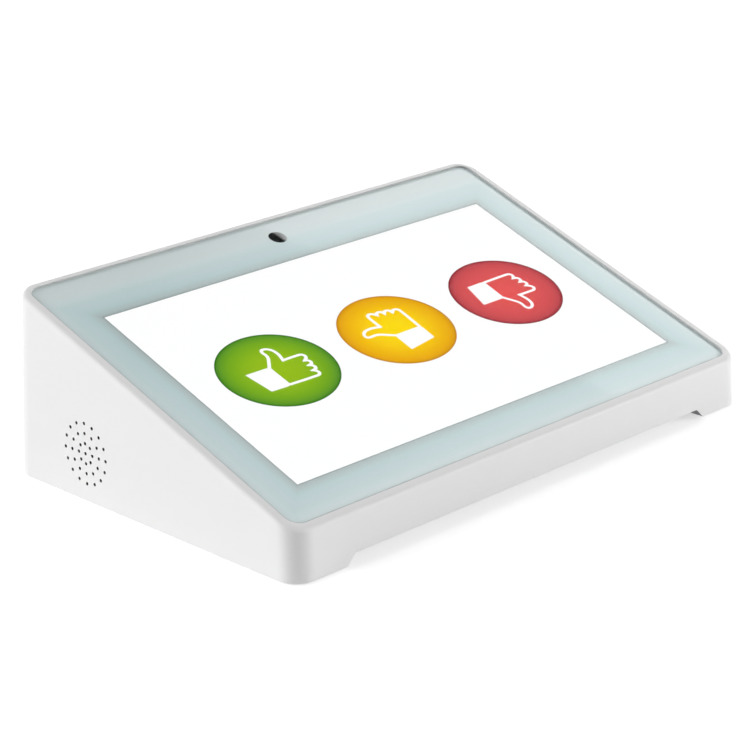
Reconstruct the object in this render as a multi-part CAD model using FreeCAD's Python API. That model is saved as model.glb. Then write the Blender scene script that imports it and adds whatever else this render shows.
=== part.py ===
"""Customer feedback terminal: a wedge-shaped casing with a touch display under one flush sheet of glass.

Frame: +Z up, +X to the right and +Y to the rear, as a user in front of it sees them. The origin is in the
middle of the footprint, on the surface that the rubber feet stand on. All sizes are in millimetres.
"""
import FreeCAD, Part
import math
import os

from FreeCAD import Placement, Rotation, Vector

# ---------------------------------------------------------------- driving dimensions

# Slanted face: display, glass, groove and rim
tilt = 19.8                    # slope of the glass, degrees
active_width = 222.7           # visible picture of a 10.1 inch display
active_length = 125.3
border_side = 18.85            # printed border from the picture to the edge of the glass
border_front = 19.9
border_rear = 29.2
glass_thickness = 1.1
print_thickness = 0.1
tape_thickness = 0.15
groove = 0.4                   # gap all round the glass
rim = 3.8                      # casing edge outside the groove
rim_round = 2.2
ledge_thickness = 2.0          # shelf that the glass is taped to

# Casing walls
front_height = 22.8            # height of the slanted face at its front edge
foot_lift = 1.0                # the rubber feet hold the casing this far off the table
wall = 2.5
corner = 10.0                  # outer radius of the four upright corners
side_lean = 0.027              # outward lean of each wall, per unit of drop
front_lean = 0.029
rear_lean = 0.085

# Gap for the fingers under the front edge
gap_height = 4.45
corner_foot_width = 30.6       # casing left on the table at each end of the gap
gap_end_run = 4.4              # how far each sloping end runs out sideways
gap_depth = 14.0
gap_wall = 2.0

# Base cover, its screws and its feet
base_thickness = 2.4
base_clearance = 0.2
pad_height = 2.6
pad_radius = 4.5
column_radius = 3.5
column_height = 14.0
rib_thickness = 2.0
base_screw_radius = 1.25
base_screw_head_radius = 2.75
base_screw_head = 2.0
base_screw_bite = 8.0
base_slot_width = 0.7
base_slot_depth = 1.0
hole_clearance = 0.25
column_inset = 11.5            # column axis from the side wall's outer face
column_front = 15.0
column_middle = 66.0
column_rear = 17.0
foot_radius = 6.0
foot_thickness = 2.0
foot_chamfer = 0.35
foot_inset = 19.0
foot_from_end = 32.0
vent_width = 2.4
vent_length = 26.0
vent_pitch = 7.0
vent_count = 14
vent_from_rear = 52.0
slot_round = 0.45              # end radius of a slot, as a share of its width

# Speaker grilles and speakers
grille_from_front = 128.2
grille_rings = 3
grille_ring_step = 4.44
grille_ring_holes = (8, 12, 16)
grille_hole_radius = 0.75
speaker_margin = 2.93          # speaker flange past the outermost grille holes
speaker_lift = 1.7             # speaker above the base plate
speaker_seat_margin = 0.5      # seat ring past the outermost grille holes
speaker_depth = 9.0
speaker_flange = 1.6
speaker_seat_wall = 3.0
speaker_seat_reach = 3.2       # how far the seat ring stands in from the wall's inner face
gasket_thickness = 1.0
cone_depth = 5.0
cone_thickness = 0.5
cone_rim_width = 2.5
magnet_radius = 10.5
magnet_thickness = 5.0
speaker_screw_count = 4
speaker_lead_diameter = 1.8
speaker_tag_height = 4.2       # the lead's solder tags above the speaker's middle

# Display stack, from the glass down
window_clearance = 1.0         # between the display tray and the shelf
sensor_thickness = 0.2
cell_border = 4.6
cell_thickness = 1.4
diffuser_thickness = 0.5
guide_thickness = 2.0
reflector_thickness = 0.2
tray_border_side = 6.2
tray_border_end = 8.8
tray_sheet = 0.5
frame_width = 1.2
led_strip_thickness = 0.6
strap_length = 19.0
strap_width = 10.0
strap_thickness = 0.8
strap_spread = 96.0            # between the two straps of one side
strap_boss_radius = 3.2
strap_boss_gap = 1.4           # from the opening in the shelf to the boss
strap_overhang = 3.3           # strap past its screw
strap_corner = 2.0
display_board_width = 120.0
display_board_length = 14.0
board_sheet = 0.8              # thickness of the small boards
touch_board_width = 32.0
touch_board_length = 14.0

# Camera
camera_from_edge = 11.9        # from the rear edge of the glass
camera_window_radius = 4.3
camera_ring_radius = 4.7
camera_ring_bore = 2.1
camera_ring_wall = 0.3
lens_dome_radius = 4.2
camera_body_size = 8.4
camera_body_height = 4.0
camera_board_width = 28.0
camera_board_length = 9.0
camera_post_radius = 2.4
camera_post_spread = 20.0

# Main board
board_width = 160.0
board_length = 80.0
board_thickness = 1.6
board_lift = 5.6               # from the base plate to the board
board_from_rear = 3.2          # behind it, to the inside of the rear wall at the foot
board_post_radius = 3.5
board_hole_inset = 6.0
chip_size = 15.0
chip_thickness = 1.2
thermal_pad_thickness = 0.5
sink_size = 40.0
sink_base = 2.0
sink_height = 9.0
sink_fins = 9
sink_fin_thickness = 1.2
plug_width = 8.0
plug_length = 5.0
plug_height = 4.5
plug_margin = 2.0              # connector past each edge of its ribbon
plug_gap = 2.5                 # between a connector and the heat sink

# Flat leads
ribbon_thickness = 0.2
ribbon_width = 16.0
small_ribbon_width = 8.0
ribbon_bend = 5.0
ribbon_tight_bend = 2.0
ribbon_fold = 0.2
ribbon_run = 16.0              # display lead along its board, and its drop after that
display_ribbon_x = 16.0

# Rear port plate and its sockets, in order from left to right as seen from the front
port_spacing = 4.5             # between neighbours, and to the plate's ends
port_margin = 2.3              # plate above the tallest socket and below the board's top
plate_recess = 0.8
plate_panel = 1.8
plate_wall = 1.0               # of the sleeve that fills the window in the rear wall
plate_flange = 1.5
plate_flange_side = 4.0        # flange past the ends of the window
plate_flange_edge = 2.0        # flange past its upper and lower edges
plate_fit = 0.15
plate_corner = 2.0
ear_length = 10.0
socket_clearance = 0.3
inlet_width = 9.0
inlet_length = 14.0
inlet_height = 11.0
inlet_bore_radius = 3.0
inlet_bore_depth = 9.5
inlet_pin_radius = 1.0
inlet_pin_setback = 2.4
network_width = 16.0
network_length = 18.0
network_height = 13.4
network_mouth_width = 11.8
network_mouth_height = 7.0
network_mouth_depth = 12.5
network_latch_width = 6.2
network_latch_height = 2.2
network_floor = 1.6
usb_width = 13.2
usb_length = 14.0
usb_height = 5.8
usb_shell = 0.35
usb_mouth_depth = 10.0
usb_tongue_width = 11.0
usb_tongue_thickness = 1.8
usb_tongue_setback = 1.9
audio_width = 7.0
audio_length = 13.0
audio_height = 6.0
audio_bore_radius = 1.8
audio_bore_depth = 12.0

# Keys at the right end of the port plate
key_gap = 0.3
key_proud = 1.0
key_travel = 0.4
key_flange = 1.0
key_flange_lip = 0.9
key_spacing = 1.2              # between the flanges of neighbouring keys
key_stem_radius = 1.5
key_stem_length = 1.2
power_radius = 4.0
volume_width = 6.4
volume_height = 4.6
volume_corner = 1.4
plunger_radius = 1.0
plunger_show = 0.7             # plunger in front of the switch at rest
plunger_inside = 0.7
key_round = 0.35
switch_size = 4.6
switch_corner = 0.45
switch_height = 2.2
key_board_height = 11.0
key_post_radius = 2.0
key_post_margin = 0.5

# Small screws of the inner pieces
screw_radius = 1.0
screw_head_radius = 1.9
screw_head = 1.2
screw_slot_width = 0.4
screw_slot_depth = 0.6
screw_bite = 2.0               # length in the plastic

# Rear vents and antenna
rear_vent_width = 2.2
rear_vent_height = 15.0
rear_vent_pitch = 6.0
rear_vent_count = 21
rear_vent_from_foot = 44.0
antenna_width = 42.0
antenna_height = 8.0
antenna_thickness = 0.5
antenna_from_foot = 64.0
antenna_lead_diameter = 1.3

# ---------------------------------------------------------------- derived sizes

glass_width = active_width + 2 * border_side
glass_length = active_length + border_front + border_rear
glass_corner = corner - rim - groove
deck_width = glass_width + 2 * (groove + rim)
deck_length = glass_length + 2 * (groove + rim)
glass_front = rim + groove                      # along the slope, from the front edge of the slanted face
active_front = glass_front + border_front
active_middle = active_front + active_length / 2
pocket_depth = glass_thickness + print_thickness + tape_thickness
deck_thickness = pocket_depth + ledge_thickness

sin_tilt = math.sin(math.radians(tilt))
cos_tilt = math.cos(math.radians(tilt))
tan_tilt = sin_tilt / cos_tilt
rear_height = front_height + deck_length * sin_tilt
depth = (front_lean * (front_height - foot_lift) + deck_length * cos_tilt
         + rear_lean * (rear_height - foot_lift))
front_y = -depth / 2                            # front wall at its foot
rear_y = depth / 2                              # rear wall at its foot
deck_front_y = front_y + front_lean * (front_height - foot_lift)

base_top = foot_lift + base_thickness
column_foot = base_top + pad_height
board_bottom = base_top + board_lift
board_top = board_bottom + board_thickness
board_rear = rear_y - wall - board_from_rear
board_middle = board_rear - board_length / 2
chip_y = board_middle - board_length / 8
plug_top = board_top + plug_height
front_plug_y = chip_y - sink_size / 2 - plug_gap - plug_length / 2
rear_plug_y = chip_y + sink_size / 2 + plug_gap + plug_length / 2

grille_y = front_y + grille_from_front
grille_radius = grille_rings * grille_ring_step + grille_hole_radius
speaker_radius = grille_radius + speaker_margin
grille_height = base_top + speaker_lift + speaker_radius

lean_angle = math.degrees(math.atan(rear_lean))
cos_lean = math.cos(math.radians(lean_angle))
deck = Placement(Vector(0, deck_front_y, front_height), Rotation(Vector(1, 0, 0), tilt))
rear = Placement(Vector(0, rear_y, foot_lift), Rotation(Vector(1, 0, 0), lean_angle))

up = Vector(0, 0, 1)
rearwards = Vector(0, 1, 0)
past = 1.0                                      # how far a cutting tool runs past the face it cuts
through = 10.0                                  # reach of a tool that cuts right through the port plate


def row_middles(start, widths, spacing):
    """Middles of pieces that stand in a row along X from start."""
    middles = []
    for width in widths:
        middles.append(start + width / 2)
        start += width + spacing
    return middles


# Keys between the two posts of their board, and the whole row of the port plate
key_post_width = 2 * (key_post_radius + key_post_margin)
volume_flange = volume_width + 2 * key_flange_lip
power_flange = 2 * (power_radius + key_flange_lip)
key_row = (key_post_width, volume_flange, volume_flange, power_flange, key_post_width)
key_board_width = sum(key_row) + key_spacing * (len(key_row) - 1)
port_row = (inlet_width, network_width, usb_width, usb_width, audio_width, key_board_width)
plate_width = sum(port_row) + port_spacing * (len(port_row) + 1)
inlet_x, network_x, usb_1_x, usb_2_x, audio_x, key_board_x = row_middles(
    port_spacing - plate_width / 2, port_row, port_spacing)
usb_x = (usb_1_x, usb_2_x)
left_post_x, volume_down_x, volume_up_x, power_x, right_post_x = row_middles(
    key_board_x - key_board_width / 2, key_row, key_spacing)

plate_height = max(inlet_height, network_height, usb_height, audio_height) + 2 * port_margin
plate_middle = (board_top - port_margin - foot_lift) / cos_lean + plate_height / 2    # up the rear wall
ear_x = plate_width / 2 + plate_flange_side + ear_length / 2

# Port plate, keys and switches along the rear wall's normal, from its outer face
panel_front = -plate_recess
panel_back = panel_front - plate_panel
flange_back = -wall - plate_flange
key_flange_front = panel_back - key_gap
key_flange_back = key_flange_front - key_flange
stem_end = key_flange_back - key_stem_length
switch_front = stem_end - plunger_show
switch_back = switch_front - switch_height


# ---------------------------------------------------------------- shapes used by several pieces

def block(x, y, z, width, length, height):
    """Box centred on x and y that stands on z."""
    return Part.makeBox(width, length, height, Vector(x - width / 2, y - length / 2, z))


def slab(x, y, z, width, length, height, radius):
    """Box whose upright corners are rounded."""
    solid = block(x, y, z, width, length, height)
    upright = [e for e in solid.Edges if abs(e.tangentAt(e.FirstParameter).z) > 0.9]
    return solid.makeFillet(radius, upright)


def slab_y(x, z, y, width, height, length, radius):
    """Box along +Y from y, centred on x and z, with rounded corners in the XZ plane."""
    solid = Part.makeBox(width, length, height, Vector(x - width / 2, y, z - height / 2))
    along = [e for e in solid.Edges if abs(e.tangentAt(e.FirstParameter).y) > 0.9]
    return solid.makeFillet(radius, along)


def rod(start, direction, radius, length):
    return Part.makeCylinder(radius, length, start, direction)


def ring(start, direction, radius, bore, length):
    return rod(start, direction, radius, length).cut(rod(start, direction, bore, length))


def put(shape, place):
    """The shape, moved from a local frame to the terminal's own."""
    moved = shape.copy()
    moved.Placement = place.multiply(shape.Placement)
    return moved


def in_yz(points, x):
    """Points given as (y, z) at one x."""
    return [Vector(x, y, z) for y, z in points]


def smooth_path(points, bend=None):
    """Straight runs joined by tangent arcs. With no bend radius, each arc is as large as its runs allow."""
    edges = []
    start = points[0]
    for before, here, after in zip(points, points[1:], points[2:]):
        back = (before - here).normalize()
        on = (after - here).normalize()
        half_turn = (math.pi - back.getAngle(on)) / 2
        reach = 0.45 * min((before - here).Length, (after - here).Length)
        radius = reach / math.tan(half_turn)
        if bend is not None:
            radius = bend
            reach = bend * math.tan(half_turn)
        first = here + back * reach
        last = here + on * reach
        towards = (back + on).normalize()
        middle = here + towards * (radius / math.cos(half_turn) - radius)
        edges.append(Part.LineSegment(start, first).toShape())
        edges.append(Part.Arc(first, middle, last).toShape())
        start = last
        if bend is None:
            print("lead bend radius", round(radius, 2))
    edges.append(Part.LineSegment(start, points[-1]).toShape())
    return Part.Wire(edges)


def lead(points, diameter):
    """Round insulated lead along a smooth path."""
    path = smooth_path(points)
    along = points[1] - points[0]
    section = Part.Wire(Part.makeCircle(diameter / 2, points[0], along))
    solid = path.makePipeShell([section], True, False)
    expected = math.pi * diameter ** 2 / 4 * path.Length
    print("lead volume over section times length", round(solid.Volume / expected, 4))
    return solid


def ribbon(points, x, width, bend):
    """Flat flexible lead that bends only in the YZ plane."""
    path = smooth_path(in_yz(points, x), bend)
    along = (path.Vertexes[1].Point - path.Vertexes[0].Point).normalize()
    across = Vector(1, 0, 0)
    thick = along.cross(across)
    start = path.Vertexes[0].Point
    corners = []
    for side, face in ((-1, -1), (1, -1), (1, 1), (-1, 1), (-1, -1)):
        corners.append(start + across * (side * width / 2) + thick * (face * ribbon_thickness / 2))
    return path.makePipeShell([Part.makePolygon(corners)], True, False)


def small_screw(seat, direction, grip):
    """Pan-head screw: seat is under its head, direction points into the pieces it holds."""
    shank = rod(seat, direction, screw_radius, grip + screw_bite)
    head = rod(seat, direction * -1, screw_head_radius, screw_head)
    slot = block(0, 0, screw_head - screw_slot_depth, 2 * screw_head_radius, screw_slot_width,
                 screw_slot_depth)
    slot.Placement = Placement(seat, Rotation(up, direction * -1)).multiply(slot.Placement)
    return shank.fuse(head).removeSplitter().cut(slot)


def save(name, *solids):
    """Write one sub-part. Several solids in one sub-part stay separate."""
    shape = solids[0] if len(solids) == 1 else Part.makeCompound(list(solids))
    shape.exportStep("parts/" + name + ".step")
    print(name, "solids", len(shape.Solids), "valid", shape.isValid())


# ---------------------------------------------------------------- casing

def deck_z(y, drop=0.0):
    """Height of the slanted face, or of a plane that lies square below it."""
    return front_height + (y - deck_front_y) * tan_tilt - drop / cos_tilt


def side_x(y, z):
    """Outer face of the right side wall."""
    return deck_width / 2 + side_lean * (deck_z(y) - z)


def wall_y(z, inset, to_rear):
    """Front or rear wall, moved in by inset."""
    if to_rear:
        return rear_y - inset - rear_lean * (z - foot_lift)
    return front_y + inset + front_lean * (z - foot_lift)


def top_corner(inset, drop, to_rear):
    """Where the front or rear wall meets the slanted plane, as (y, z)."""
    lean = -rear_lean if to_rear else front_lean
    foot = wall_y(0.0, inset, to_rear)
    z = (deck_z(0.0, drop) + tan_tilt * foot) / (1 - tan_tilt * lean)
    return wall_y(z, inset, to_rear), z


def wedge(inset, drop, bottom):
    """Wedge with rounded upright corners: the casing's outside, or a form nested inside it."""
    profile = [(wall_y(bottom, inset, False), bottom), (wall_y(bottom, inset, True), bottom),
               top_corner(inset, drop, True), top_corner(inset, drop, False)]
    right = [Vector(side_x(y, z) - inset, y, z) for y, z in profile]
    left = [Vector(-p.x, p.y, p.z) for p in right]
    faces = [Part.Face(Part.makePolygon(right + right[:1])), Part.Face(Part.makePolygon(left + left[:1]))]
    for i in range(4):
        j = (i + 1) % 4
        faces.append(Part.Face(Part.makePolygon([right[i], right[j], left[j], left[i], right[i]])))
    solid = Part.Solid(Part.Shell(faces))
    if solid.Volume < 0:
        solid.reverse()
    upright = [e for e in solid.Edges if abs(e.tangentAt(e.FirstParameter).z) > 0.9]
    return solid.makeFillet(corner - inset, upright)


def finger_gap(grow, y_from, y_to):
    """Prism with sloping ends that runs along Y, for the gap under the front edge and the wall around it."""
    top = foot_lift + gap_height + grow
    half_top = deck_width / 2 - corner_foot_width + grow
    slope = gap_end_run / gap_height
    half_low = half_top + slope * (top - foot_lift + past)
    low = foot_lift - past
    corners = [Vector(-half_low, y_from, low), Vector(half_low, y_from, low),
               Vector(half_top, y_from, top), Vector(-half_top, y_from, top)]
    return Part.Face(Part.makePolygon(corners + corners[:1])).extrude(Vector(0, y_to - y_from, 0))


def column_places():
    """Axes of the six base screws."""
    places = []
    for y in (front_y + column_front, front_y + column_middle, rear_y - column_rear):
        x = side_x(y, column_foot) - column_inset
        places += [Vector(-x, y, column_foot), Vector(x, y, column_foot)]
    return places


def grille_holes():
    """Grille hole centres as (y, z): one in the middle, then rings of evenly spaced holes."""
    holes = [(grille_y, grille_height)]
    for ring_number, count in enumerate(grille_ring_holes, start=1):
        radius = ring_number * grille_ring_step
        for i in range(count):
            turn = 2 * math.pi * i / count
            holes.append((grille_y + radius * math.sin(turn), grille_height + radius * math.cos(turn)))
    return holes


seat_face = side_x(grille_y, grille_height) - wall - speaker_seat_reach   # |x| of the speaker seat
seat_bore = grille_radius + speaker_seat_margin
screw_circle = speaker_radius + screw_head_radius / 2


def speaker_screw_places():
    """Speaker screw axes as (y, z), on the diagonals."""
    places = []
    for i in range(speaker_screw_count):
        turn = math.pi / 4 + 2 * math.pi * i / speaker_screw_count
        places.append((grille_y + screw_circle * math.cos(turn),
                       grille_height + screw_circle * math.sin(turn)))
    return places


# Display tray and the opening for it, in the slanted frame
tray_width = active_width + 2 * tray_border_side
tray_length = active_length + 2 * tray_border_end
sensor_top = -(glass_thickness + print_thickness)
cell_top = sensor_top - sensor_thickness
diffuser_top = cell_top - cell_thickness
guide_top = diffuser_top - diffuser_thickness
reflector_top = guide_top - guide_thickness
tray_floor_top = reflector_top - reflector_thickness
tray_back = tray_floor_top - tray_sheet
strap_x = tray_width / 2 + window_clearance + strap_boss_gap + strap_boss_radius
camera_v = glass_front + glass_length - camera_from_edge
camera_board_top = -(deck_thickness + camera_body_height)


def strap_places():
    """Screw axes of the display straps, in the slanted frame."""
    return [(side * strap_x, active_middle + end * strap_spread / 2) for side in (-1, 1) for end in (-1, 1)]


def make_housing():
    outside = wedge(0.0, 0.0, foot_lift)
    face = deck.inverse()
    on_face = []
    for e in outside.Edges:
        middle = face.multVec(e.valueAt((e.FirstParameter + e.LastParameter) / 2))
        if abs(middle.z) < 1e-4:
            on_face.append(e)
    outside = outside.makeFillet(rim_round, on_face)
    shell = outside.cut(wedge(wall, deck_thickness, foot_lift - past))

    # Columns for the base screws, each tied to its side wall by a rib
    extras = []
    for place in column_places():
        extras.append(rod(place, up, column_radius, column_height))
        side = math.copysign(1, place.x)
        reach = side_x(place.y, place.z + column_height) - wall / 2 - abs(place.x)
        extras.append(block(place.x + side * reach / 2, place.y, place.z, reach, rib_thickness,
                            column_height))

    # Seat ring and screw posts for each speaker
    seat_length = speaker_seat_reach + wall / 2
    for side in (-1, 1):
        outwards = Vector(side, 0, 0)
        middle = Vector(side * seat_face, grille_y, grille_height)
        extras.append(ring(middle, outwards, seat_bore + speaker_seat_wall, seat_bore, seat_length))
        for y, z in speaker_screw_places():
            post = Vector(side * (seat_face - gasket_thickness), y, z)
            extras.append(rod(post, outwards, screw_head_radius, seat_length + gasket_thickness))

    # Bosses under the shelf for the display straps and the camera board
    for x, v in strap_places():
        height = -deck_thickness - tray_back
        boss = rod(Vector(x, v, tray_back), up, strap_boss_radius, height + ledge_thickness / 2)
        extras.append(put(boss, deck))
    for side in (-1, 1):
        foot = Vector(side * camera_post_spread / 2, camera_v, camera_board_top)
        extras.append(put(rod(foot, up, camera_post_radius, camera_body_height + ledge_thickness / 2), deck))
    shell = shell.fuse(extras)

    cuts = [finger_gap(0.0, front_y - past, front_y + gap_depth)]
    # Pocket for the glass, opening for the display and hole for the camera
    cuts.append(put(slab(0, glass_front + glass_length / 2, -pocket_depth, glass_width + 2 * groove,
                         glass_length + 2 * groove, pocket_depth + past, glass_corner + groove), deck))
    cuts.append(put(block(0, active_middle, -deck_thickness - past, tray_width + 2 * window_clearance,
                          tray_length + 2 * window_clearance, deck_thickness + past), deck))
    cuts.append(put(rod(Vector(0, camera_v, -deck_thickness - past), up, camera_ring_radius + hole_clearance,
                        deck_thickness), deck))
    # Grilles
    for side in (-1, 1):
        for y, z in grille_holes():
            start = Vector(side * (seat_face + speaker_seat_reach - past), y, z)
            cuts.append(rod(start, Vector(side, 0, 0), grille_hole_radius, wall + 2 * past))
    # Screw pilots
    for place in column_places():
        cuts.append(rod(place, up, base_screw_radius, base_screw_bite + past))
    for side in (-1, 1):
        for y, z in speaker_screw_places():
            post = Vector(side * (seat_face - gasket_thickness), y, z)
            cuts.append(rod(post, Vector(side, 0, 0), screw_radius, screw_bite))
        cuts.append(put(rod(Vector(side * camera_post_spread / 2, camera_v, camera_board_top), up,
                            screw_radius, screw_bite), deck))
        ear_pilot = rod(Vector(side * ear_x, -wall, plate_middle), rearwards, screw_radius, screw_bite)
        cuts.append(put(ear_pilot, rear))
    for x, v in strap_places():
        cuts.append(put(rod(Vector(x, v, tray_back), up, screw_radius, screw_bite), deck))
    # Window for the port plate, and the rear vents
    window = slab_y(0, plate_middle, -wall - past, plate_width, plate_height, wall + 2 * past, plate_corner)
    cuts.append(put(window, rear))
    for i in range(rear_vent_count):
        x = (i - (rear_vent_count - 1) / 2) * rear_vent_pitch
        vent = slab_y(x, rear_vent_from_foot + rear_vent_height / 2, -wall - past, rear_vent_width,
                      rear_vent_height, wall + 2 * past, slot_round * rear_vent_width)
        cuts.append(put(vent, rear))
    save("housing", shell.cut(cuts))


def board_screw_places():
    """Main board screw axes, on the board's underside."""
    x = board_width / 2 - board_hole_inset
    y = board_length / 2 - board_hole_inset
    return [Vector(sx * x, board_middle + sy * y, board_bottom) for sx in (-1, 1) for sy in (-1, 1)]


def foot_places():
    places = []
    for y in (front_y + foot_from_end, rear_y - foot_from_end):
        x = side_x(y, foot_lift) - foot_inset
        places += [Vector(-x, y, 0), Vector(x, y, 0)]
    return places


def make_base():
    inset = wall + base_clearance
    inside = wedge(inset, deck_thickness, foot_lift)
    plate = inside.common(block(0, 0, foot_lift, 2 * deck_width, 2 * depth, base_thickness))
    tunnel = finger_gap(gap_wall, front_y, front_y + gap_depth + gap_wall).common(inside)
    pads = [rod(Vector(p.x, p.y, foot_lift), up, pad_radius, column_foot - foot_lift)
            for p in column_places()]
    posts = [rod(Vector(p.x, p.y, foot_lift), up, board_post_radius, board_bottom - foot_lift)
             for p in board_screw_places()]
    base = plate.fuse([tunnel] + pads + posts)
    cuts = [finger_gap(0.0, front_y - past, front_y + gap_depth)]
    for p in column_places():
        cuts.append(rod(Vector(p.x, p.y, foot_lift - past), up, base_screw_head_radius + hole_clearance,
                        base_thickness + past))
        cuts.append(rod(Vector(p.x, p.y, foot_lift), up, base_screw_radius + hole_clearance, column_foot))
    for p in board_screw_places():
        cuts.append(rod(p - up * screw_bite, up, screw_radius, screw_bite))
    for p in foot_places():
        cuts.append(rod(Vector(p.x, p.y, foot_lift - past), up, foot_radius + hole_clearance / 2,
                        foot_thickness - foot_lift + past))
    for i in range(vent_count):
        x = (i - (vent_count - 1) / 2) * vent_pitch
        cuts.append(slab(x, rear_y - vent_from_rear, foot_lift - past, vent_width, vent_length,
                         base_thickness + 2 * past, slot_round * vent_width))
    save("base_cover", base.cut(cuts))

    feet = []
    for p in foot_places():
        foot = rod(p, up, foot_radius, foot_thickness)
        low = [e for e in foot.Edges if e.BoundBox.ZMax < foot_chamfer]
        feet.append(foot.makeChamfer(foot_chamfer, low))
    save("rubber_feet", *feet)

    screws = []
    for p in column_places():
        seat = Vector(p.x, p.y, base_top)
        shank = rod(seat, up, base_screw_radius, pad_height + base_screw_bite)
        head = rod(seat - up * base_screw_head, up, base_screw_head_radius, base_screw_head)
        low = base_top - base_screw_head
        slot = block(p.x, p.y, low, 2 * base_screw_radius, base_slot_width, base_slot_depth)
        cross = block(p.x, p.y, low, base_slot_width, 2 * base_screw_radius, base_slot_depth)
        screws.append(shank.fuse(head).removeSplitter().cut([slot, cross]))
    save("base_screws", *screws)


# ---------------------------------------------------------------- glass and display, in the slanted frame

def frame_sheet(width, length, radius, hole_width, hole_length, middle, hole_middle, top, thickness):
    """Flat frame with a rectangular opening."""
    sheet = slab(0, middle, top - thickness, width, length, thickness, radius)
    return sheet.cut(block(0, hole_middle, top - thickness - past, hole_width, hole_length,
                           thickness + 2 * past))


def make_glass():
    middle = glass_front + glass_length / 2
    glass = slab(0, middle, -glass_thickness, glass_width, glass_length, glass_thickness, glass_corner)
    save("cover_glass", put(glass, deck))

    border = frame_sheet(glass_width, glass_length, glass_corner, active_width, active_length, middle,
                         active_middle, -glass_thickness, print_thickness)
    eye = rod(Vector(0, camera_v, sensor_top - past), up, camera_window_radius, print_thickness + 2 * past)
    save("border_print", put(border.cut(eye), deck))

    tape = frame_sheet(glass_width - groove, glass_length - groove, glass_corner,
                       tray_width + 2 * window_clearance, tray_length + 2 * window_clearance,
                       middle, active_middle, sensor_top, tape_thickness)
    hole = rod(Vector(0, camera_v, -pocket_depth - past), up, camera_ring_radius + hole_clearance, 2 * past)
    save("glass_tape", put(tape.cut(hole), deck))


def make_display():
    cell_width = active_width + 2 * cell_border
    cell_length = active_length + 2 * cell_border
    sensor = block(0, active_middle, cell_top, cell_width, cell_length, sensor_thickness)
    save("touch_sensor", put(sensor, deck))
    cell = block(0, active_middle, diffuser_top, cell_width, cell_length, cell_thickness)
    save("lcd_cell", put(cell, deck))

    inner_width = tray_width - 2 * tray_sheet
    inner_length = tray_length - 2 * tray_sheet
    guide_width = inner_width - 2 * frame_width
    guide_length = inner_length - 2 * frame_width
    strip_middle = active_middle - guide_length / 2 + led_strip_thickness / 2
    save("diffuser_sheet", put(block(0, active_middle, guide_top, guide_width, guide_length,
                                     diffuser_thickness), deck))
    save("light_guide", put(block(0, active_middle + led_strip_thickness / 2, reflector_top, guide_width,
                                  guide_length - led_strip_thickness, guide_thickness), deck))
    save("led_strip", put(block(0, strip_middle, reflector_top, guide_width, led_strip_thickness,
                                guide_thickness), deck))
    save("reflector_sheet", put(block(0, active_middle, tray_floor_top, guide_width, guide_length,
                                      reflector_thickness), deck))
    frame_height = diffuser_top - tray_floor_top
    frame = block(0, active_middle, tray_floor_top, inner_width, inner_length, frame_height)
    frame = frame.cut(block(0, active_middle, tray_floor_top - past, guide_width, guide_length,
                            frame_height + 2 * past))
    save("display_frame", put(frame, deck))
    tray = block(0, active_middle, tray_back, tray_width, tray_length, cell_top - tray_back)
    tray = tray.cut(block(0, active_middle, tray_floor_top, inner_width, inner_length, past - tray_floor_top))
    save("display_tray", put(tray, deck))

    straps = []
    screws = []
    for x, v in strap_places():
        side = math.copysign(1, x)
        strap_middle = side * (abs(x) + strap_overhang - strap_length / 2)
        strap = slab(strap_middle, v, tray_back - strap_thickness, strap_length, strap_width,
                     strap_thickness, strap_corner)
        hole = rod(Vector(x, v, tray_back - strap_thickness - past), up, screw_radius + hole_clearance,
                   strap_thickness + 2 * past)
        straps.append(put(strap.cut(hole), deck))
        screws.append(put(small_screw(Vector(x, v, tray_back - strap_thickness), up, strap_thickness), deck))
    save("display_straps", *straps)

    # Camera in its hole behind the glass
    ring_length = deck_thickness + sensor_top
    centre = Vector(0, camera_v, -deck_thickness)
    baffle = rod(centre, up, camera_ring_radius, ring_length)
    bell = Part.makeCone(camera_ring_bore, camera_ring_radius - camera_ring_wall, ring_length, centre, up)
    save("camera_ring", put(baffle.cut(bell), deck))
    body = block(0, camera_v, camera_board_top, camera_body_size, camera_body_size, camera_body_height)
    socket = rod(Vector(0, camera_v, -deck_thickness - past), up, camera_ring_bore, 2 * past)
    save("camera_body", put(body.cut(socket), deck))
    lens = rod(Vector(0, camera_v, -deck_thickness - past), up, camera_ring_bore, past)
    dome_drop = math.sqrt(lens_dome_radius ** 2 - camera_ring_bore ** 2)
    dome = Part.makeSphere(lens_dome_radius, Vector(0, camera_v, -deck_thickness - dome_drop))
    above = block(0, camera_v, -deck_thickness, 2 * camera_ring_bore, 2 * camera_ring_bore, lens_dome_radius)
    save("camera_lens", put(lens.fuse(dome.common(above)).removeSplitter(), deck))
    board_back = camera_board_top - board_sheet
    board = block(0, camera_v, board_back, camera_board_width, camera_board_length, board_sheet)
    for side in (-1, 1):
        x = side * camera_post_spread / 2
        board = board.cut(rod(Vector(x, camera_v, camera_board_top - 2 * board_sheet), up,
                              screw_radius + hole_clearance, 3 * board_sheet))
        screws.append(put(small_screw(Vector(x, camera_v, board_back), up, board_sheet), deck))
    save("camera_board", put(board, deck))
    save("display_screws", *screws)

    # Boards on the back of the tray
    save("display_board", put(block(0, display_board_v, tray_back - board_sheet, display_board_width,
                                    display_board_length, board_sheet), deck))
    save("touch_board", put(block(touch_x, touch_board_v, tray_back - board_sheet, touch_board_width,
                                  touch_board_length, board_sheet), deck))


display_board_v = active_middle + tray_length / 4
touch_x = -active_width / 4
touch_board_v = active_middle - tray_length / 2 + touch_board_length


# ---------------------------------------------------------------- speakers

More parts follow.
